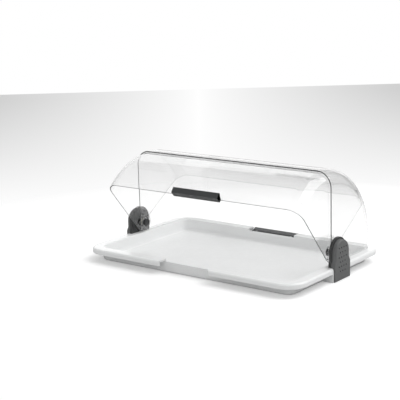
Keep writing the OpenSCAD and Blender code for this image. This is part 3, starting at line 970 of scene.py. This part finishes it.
def bracket_shell(size, tray):
    """The outer part: hollow, square at its foot and rounded above it, with its dimples."""
    face_x, seam_x = BRACKET_HIGH.x, BRACKET_LOW.x
    top = BRACKET_HIGH.y - size.shoulder / 2
    arch_z = BRACKET_HIGH.z - top
    outline = [(seam_x, y, z) for y, z in tombstone(size, top, BRACKET_LOW.z, arch_z)]
    shell = draw_prism("right_bracket_shell", outline, (face_x - seam_x, 0, 0))
    ramp_low, ramp_high = size.shoulder_height - size.ramp, size.shoulder_height + size.ramp
    shares = ((0, FOOT_SHARE), (ramp_low, RAMP_SHARE), (ramp_high, 1.0))
    round_face(shell, face_x, size.edge_radius, 6, shares)
    foot_top = tray.pocket_floor + tray.pocket_fit
    hollow = tombstone(size, top, foot_top + size.wall, arch_z, size.wall)
    points = [(seam_x - MM, y, z) for y, z in hollow]
    combine(shell, draw_prism("hollow", points, (face_x - size.wall - seam_x + MM, 0, 0)))
    behind = TRAY_HIGH.x - tray.pocket_floor_inset + tray.pocket_fit
    half = 2 * BRACKET_HIGH.y
    combine(shell, draw_box("foot_cut", (seam_x - MM, -half, -MM), (behind, half, foot_top)))
    sink_dimples(shell, size, face_x, tray.pocket_floor + size.dimple_rise)
    return shell


def bracket_block(size, tray):
    """The block behind a bracket, a little larger than it, with the pivot's bore."""
    seam_x, face_x = BLOCK_HIGH.x, BLOCK_LOW.x
    top = BRACKET_HIGH.y - size.block_shoulder / 2
    outline = tombstone(size, top, tray.pocket_floor, BLOCK_HIGH.z - top)
    outline = [(face_x, y, z) for y, z in outline]
    block = draw_prism("right_pivot_block", outline, (seam_x - face_x, 0, 0))
    round_face(block, face_x, size.block_edge, 3, ((0, 1.0),))
    round_face(block, seam_x, size.block_edge, 2, ((0, SEAM_SHARE),))
    deselect()
    bpy.ops.mesh.primitive_cylinder_add(
        vertices=48, radius=size.bore_radius, depth=4 * (seam_x - face_x), rotation=(0, pi / 2, 0),
        location=(seam_x, 0, PIVOT.z),
    )
    combine(block, started("bore"))
    return block


class DISPLAY_OT_brackets(bpy.types.Operator):
    """Model the brackets with their dimples, and the blocks behind them"""

    bl_idname = "bread_display.brackets"
    bl_label = "Brackets"

    def execute(self, context):
        size, tray = context.scene.display_brackets, context.scene.display_tray
        for build, node, kind, finish in (
            (bracket_shell, "bracket", "bracket_shell", "bracket_grey"),
            # the blocks' darker grey is painted shade
            (bracket_block, "bracket_block", "pivot_block", "block_grey"),
        ):
            right = build(size, tray)
            left = mirrored(right, f"left_{kind}")
            for piece, side in ((right, "right"), (left, "left")):
                finish_piece(piece, "base", "bracket_grey", f"{side}_{node}", finish=finish)
        return {"FINISHED"}


# ---- knobs and fasteners ----

SIDES_PER_NOTCH = 6


class DISPLAY_OT_knobs(bpy.types.Operator):
    """Model the notched knobs that clamp the covers"""

    bl_idname = "bread_display.knobs"
    bl_label = "Knobs"

    def execute(self, context):
        size = context.scene.display_knobs
        sides = SIDES_PER_NOTCH * size.notches
        radius, depth = (KNOB_HIGH.z - KNOB_LOW.z) / 2, KNOB_HIGH.x - KNOB_LOW.x
        round_end, middle = size.cap_bevel, (KNOB_LOW.x + KNOB_HIGH.x) / 2
        deselect()
        bpy.ops.mesh.primitive_circle_add(
            vertices=sides, radius=radius, fill_type="NGON", rotation=(0, pi / 2, 0),
            location=(KNOB_LOW.x + round_end, 0, PIVOT.z),
        )
        knob = started("right_clamp_knob")

        def spoke(vertex):
            return round(atan2(vertex.co.z - PIVOT.z, vertex.co.y) / (2 * pi) * sides) % SIDES_PER_NOTCH

        def shrink(share):
            bpy.ops.transform.resize(value=(1, share, share), center_override=PIVOT)

        def draw_out(along, share):
            bpy.ops.mesh.extrude_region()
            bpy.ops.transform.translate(value=(along, 0, 0))
            shrink(share)

        beside = (1, SIDES_PER_NOTCH - 1)
        with editing(knob, "VERT"):
            for places, notch in (((0,), size.notch_depth), (beside, size.notch_depth / 2)):
                pick(knob, lambda v: spoke(v) in places, "verts")
                shrink(1 - notch / radius)
        with editing(knob):
            pick(knob, lambda f: True)
            draw_out(depth - 2 * round_end, 1)
            for sign in (1, -1):
                pick(knob, lambda f: len(f.verts) > 4 and sign * (middle_of(f).x - middle) > 0)
                reach = radius
                for inward, along in arc_steps(round_end, 0, 90, 4):
                    draw_out(sign * along, (reach - inward) / reach)
                    reach -= inward
                draw_out(0, (reach - size.cap_inset) / reach)
                draw_out(-sign * size.cap_depth, size.cap_taper)
        tidy_normals(knob)
        left = mirrored(knob, "left_clamp_knob")
        for piece, side in ((knob, "right"), (left, "left")):
            finish_piece(piece, f"{side}_knob_body", "knob_grey", f"{side}_knob")
        return {"FINISHED"}


class DISPLAY_OT_fasteners(bpy.types.Operator):
    """Finish the bolts, screws, spacers and washers, whose CAD shapes stay"""

    bl_idname = "bread_display.fasteners"
    bl_label = "Bolts, screws and washers"

    def execute(self, context):
        slots = {part["node"]: part["material_slot"] for part in frame["record"]["subparts"]}
        for node, part in frame["nodes"].items():
            if not part.hide_render:
                part.data.materials.clear()
                add_finishes(part, slots[node])
        return {"FINISHED"}


# ---- stage ----

CAMERA_PLACE = (1.37026, -1.87261, 0.65912)
CAMERA_YAW, CAMERA_PITCH, CAMERA_ROLL = 37.76, -12.85, -1.61
CAMERA_LENS, CAMERA_SENSOR = 101.56, 36
CAMERA_SHIFT = (-0.00278, 0.00295)
FLOOR_SIZE = 30
FLOOR_GLOW = 0.25
# Distances from the middle of the floor between which the shadow's white gives way to the backdrop's
SHADOW_REACH = (0.55, 0.85)
# The backdrop, seen from the camera: the distance where it ends, how much its sides dim there,
# the sides' slope, and how the dimming grows from side to side and into the distance
SWEEP_END = 5.23
SIDE_DIMMING = 0.36
SIDE_SLOPE, SIDE_POWER = 5.64, 0.8
DEPTH_START, DEPTH_FALL = 2.355, 6.79
# What the floor and the room give to the surfaces that they light, and to those that mirror them
BOUNCE_GREY = "#CFCFCF"
ROOM_LIGHT = 0.5
REFLECTED_ROOM = 0.7
# Each lamp: name, place, size and watts
LAMPS = (
    ("key", (1.3, 1.0, 2.2), (2.4, 2.4), 47),
    ("top", (-0.4, 0.2, 2.4), (2.4, 1.6), 3),
    ("fill", (0.9, -2.9, 1.3), (3.0, 2.0), 16),
    ("sweep", (-2.4, 3.4, 1.6), (5.0, 3.2), 36),
)


def calculate(tree, operation, *values, clamp=False):
    """One step of arithmetic on numbers or sockets."""
    node = add_node(
        tree, "ShaderNodeMath", dict(enumerate(values)), operation=operation, use_clamp=clamp
    )
    return node.outputs["Value"]


def vector_step(tree, operation, output, *values):
    """One step of vector arithmetic."""
    node = add_node(tree, "ShaderNodeVectorMath", dict(enumerate(values)), operation=operation)
    return node.outputs[output]


def before_diffuse(tree, rays, seen):
    """The seen kind of ray, as long as it hasn't left a diffuse surface on its way."""
    return calculate(tree, "MULTIPLY", seen, calculate(tree, "LESS_THAN", rays["Diffuse Depth"], 0.5))


def looked_at(tree):
    """1 for a ray that shows the studio, straight or through the covers; 0 for one that lights."""
    rays = add_node(tree, "ShaderNodeLightPath").outputs
    seen = calculate(tree, "MAXIMUM", rays["Is Camera Ray"], rays["Is Transmission Ray"])
    return before_diffuse(tree, rays, seen)


def backdrop_white(tree, place):
    """White that dims towards both sides behind the object and stops at the sweep's far edge."""
    heading = radians(CAMERA_YAW)
    forward, right = (-sin(heading), cos(heading), 0), (cos(heading), sin(heading), 0)
    away = vector_step(tree, "SUBTRACT", "Vector", place, CAMERA_PLACE)
    ahead, aside = (vector_step(tree, "DOT_PRODUCT", "Value", away, axis) for axis in (forward, right))
    wide = calculate(tree, "DIVIDE", calculate(tree, "ABSOLUTE", aside), ahead)
    wide = calculate(tree, "POWER", calculate(tree, "MULTIPLY", wide, SIDE_SLOPE), SIDE_POWER)
    fall = calculate(tree, "DIVIDE", DEPTH_FALL, ahead)
    far = calculate(tree, "SUBTRACT", DEPTH_START, fall, clamp=True)
    far = calculate(tree, "MULTIPLY", far, calculate(tree, "LESS_THAN", ahead, SWEEP_END))
    dim = calculate(tree, "MULTIPLY", calculate(tree, "MULTIPLY", wide, far), SIDE_DIMMING)
    return calculate(tree, "SUBTRACT", 1.0, dim)


def studio_floor():
    """A white floor that keeps the object's shadow and throws a softer light back on it."""
    material, tree, place = new_material("studio_floor")
    plain, bounce = (
        add_node(tree, "ShaderNodeBsdfDiffuse", {"Color": tone}).outputs["BSDF"]
        for tone in (tone_of("floor_white"), linear(BOUNCE_GREY))
    )
    glow, far = (
        add_node(tree, "ShaderNodeEmission", {"Strength": strength}).outputs["Emission"]
        for strength in (FLOOR_GLOW, backdrop_white(tree, place))
    )
    near = add_node(tree, "ShaderNodeAddShader", {0: plain, 1: glow}).outputs["Shader"]
    reach = vector_step(tree, "LENGTH", "Value", place)
    bright = blend(tree, remap(tree, reach, 0, 1, *SHADOW_REACH), near, far)
    show(tree, blend(tree, looked_at(tree), bounce, bright))
    deselect()
    bpy.ops.mesh.primitive_plane_add(size=FLOOR_SIZE, location=(0, 0, 0))
    floor = started("floor")
    floor.data.materials.append(material)


def studio_world():
    """White to the camera, softer to the surfaces that the room lights or that mirror it."""
    world = bpy.data.worlds.new("studio")
    world.use_nodes = True
    bpy.context.scene.world = world
    tree = world.node_tree
    tree.nodes.clear()
    rays = add_node(tree, "ShaderNodeLightPath").outputs
    mirrors = before_diffuse(tree, rays, rays["Is Glossy Ray"])
    strength = remap(tree, mirrors, ROOM_LIGHT, REFLECTED_ROOM, 0, 1)
    strength = calculate(tree, "MAXIMUM", strength, rays["Is Camera Ray"])
    room = add_node(tree, "ShaderNodeBackground", {"Color": (1, 1, 1, 1), "Strength": strength})
    add_node(tree, "ShaderNodeOutputWorld", {"Surface": room.outputs["Background"]})


def soft_lamp(name, place, size, power):
    deselect()
    bpy.ops.object.light_add(type="AREA", location=place)
    lamp = bpy.context.active_object
    lamp.name = name
    lamp.data.shape = "RECTANGLE"
    lamp.data.size, lamp.data.size_y = size
    lamp.data.energy = power
    lamp.visible_camera = lamp.visible_transmission = False
    lamp.rotation_euler = (PIVOT - Vector(place)).to_track_quat("-Z", "Y").to_euler()


class DISPLAY_OT_stage(bpy.types.Operator):
    """Set up the floor, the lamps and the camera at the photograph's viewpoint"""

    bl_idname = "bread_display.stage"
    bl_label = "Studio and camera"

    def execute(self, context):
        studio_floor()
        studio_world()
        for lamp in LAMPS:
            soft_lamp(*lamp)
        bpy.ops.object.camera_add(location=CAMERA_PLACE)
        camera = context.active_object
        camera.name = "photo_camera"
        turn = (
            Matrix.Rotation(radians(CAMERA_YAW), 4, "Z")
            @ Matrix.Rotation(radians(90 + CAMERA_PITCH), 4, "X")
            @ Matrix.Rotation(radians(CAMERA_ROLL), 4, "Z")
        )
        camera.rotation_euler = turn.to_euler()
        camera.data.sensor_width = CAMERA_SENSOR
        camera.data.lens = CAMERA_LENS
        camera.data.shift_x, camera.data.shift_y = CAMERA_SHIFT
        camera.data.dof.use_dof = False
        context.scene.camera = camera
        context.scene.view_settings.view_transform = "Standard"
        return {"FINISHED"}


# ---- add-on ----


class DISPLAY_PT_panel(bpy.types.Panel):
    """Lists the steps that model the bread display"""

    bl_label = "Bread display"
    bl_idname = "DISPLAY_PT_panel"
    bl_space_type = "VIEW_3D"
    bl_region_type = "UI"
    bl_category = "Bread display"

    def draw(self, context):
        for operator in OPERATORS:
            self.layout.operator(operator.bl_idname)


GROUPS = {
    "display_tray": TraySizes,
    "display_covers": CoverSizes,
    "display_brackets": BracketSizes,
    "display_grips": GripSizes,
    "display_knobs": KnobSizes,
    "display_finishes": Finishes,
}
OPERATORS = (
    DISPLAY_OT_stage,
    DISPLAY_OT_tray,
    DISPLAY_OT_rear_cover,
    DISPLAY_OT_front_cover,
    DISPLAY_OT_grips,
    DISPLAY_OT_brackets,
    DISPLAY_OT_knobs,
    DISPLAY_OT_fasteners,
)


def register():
    for cls in (*GROUPS.values(), *OPERATORS, DISPLAY_PT_panel):
        bpy.utils.register_class(cls)
    for name, group in GROUPS.items():
        setattr(bpy.types.Scene, name, PointerProperty(type=group))


def unregister():
    for name in GROUPS:
        delattr(bpy.types.Scene, name)
    for cls in (DISPLAY_PT_panel, *reversed(OPERATORS), *reversed(GROUPS.values())):
        bpy.utils.unregister_class(cls)


def main():
    register()
    for operator in OPERATORS:
        group, action = operator.bl_idname.split(".")
        getattr(getattr(bpy.ops, group), action)()


if __name__ == "__main__":
    main()
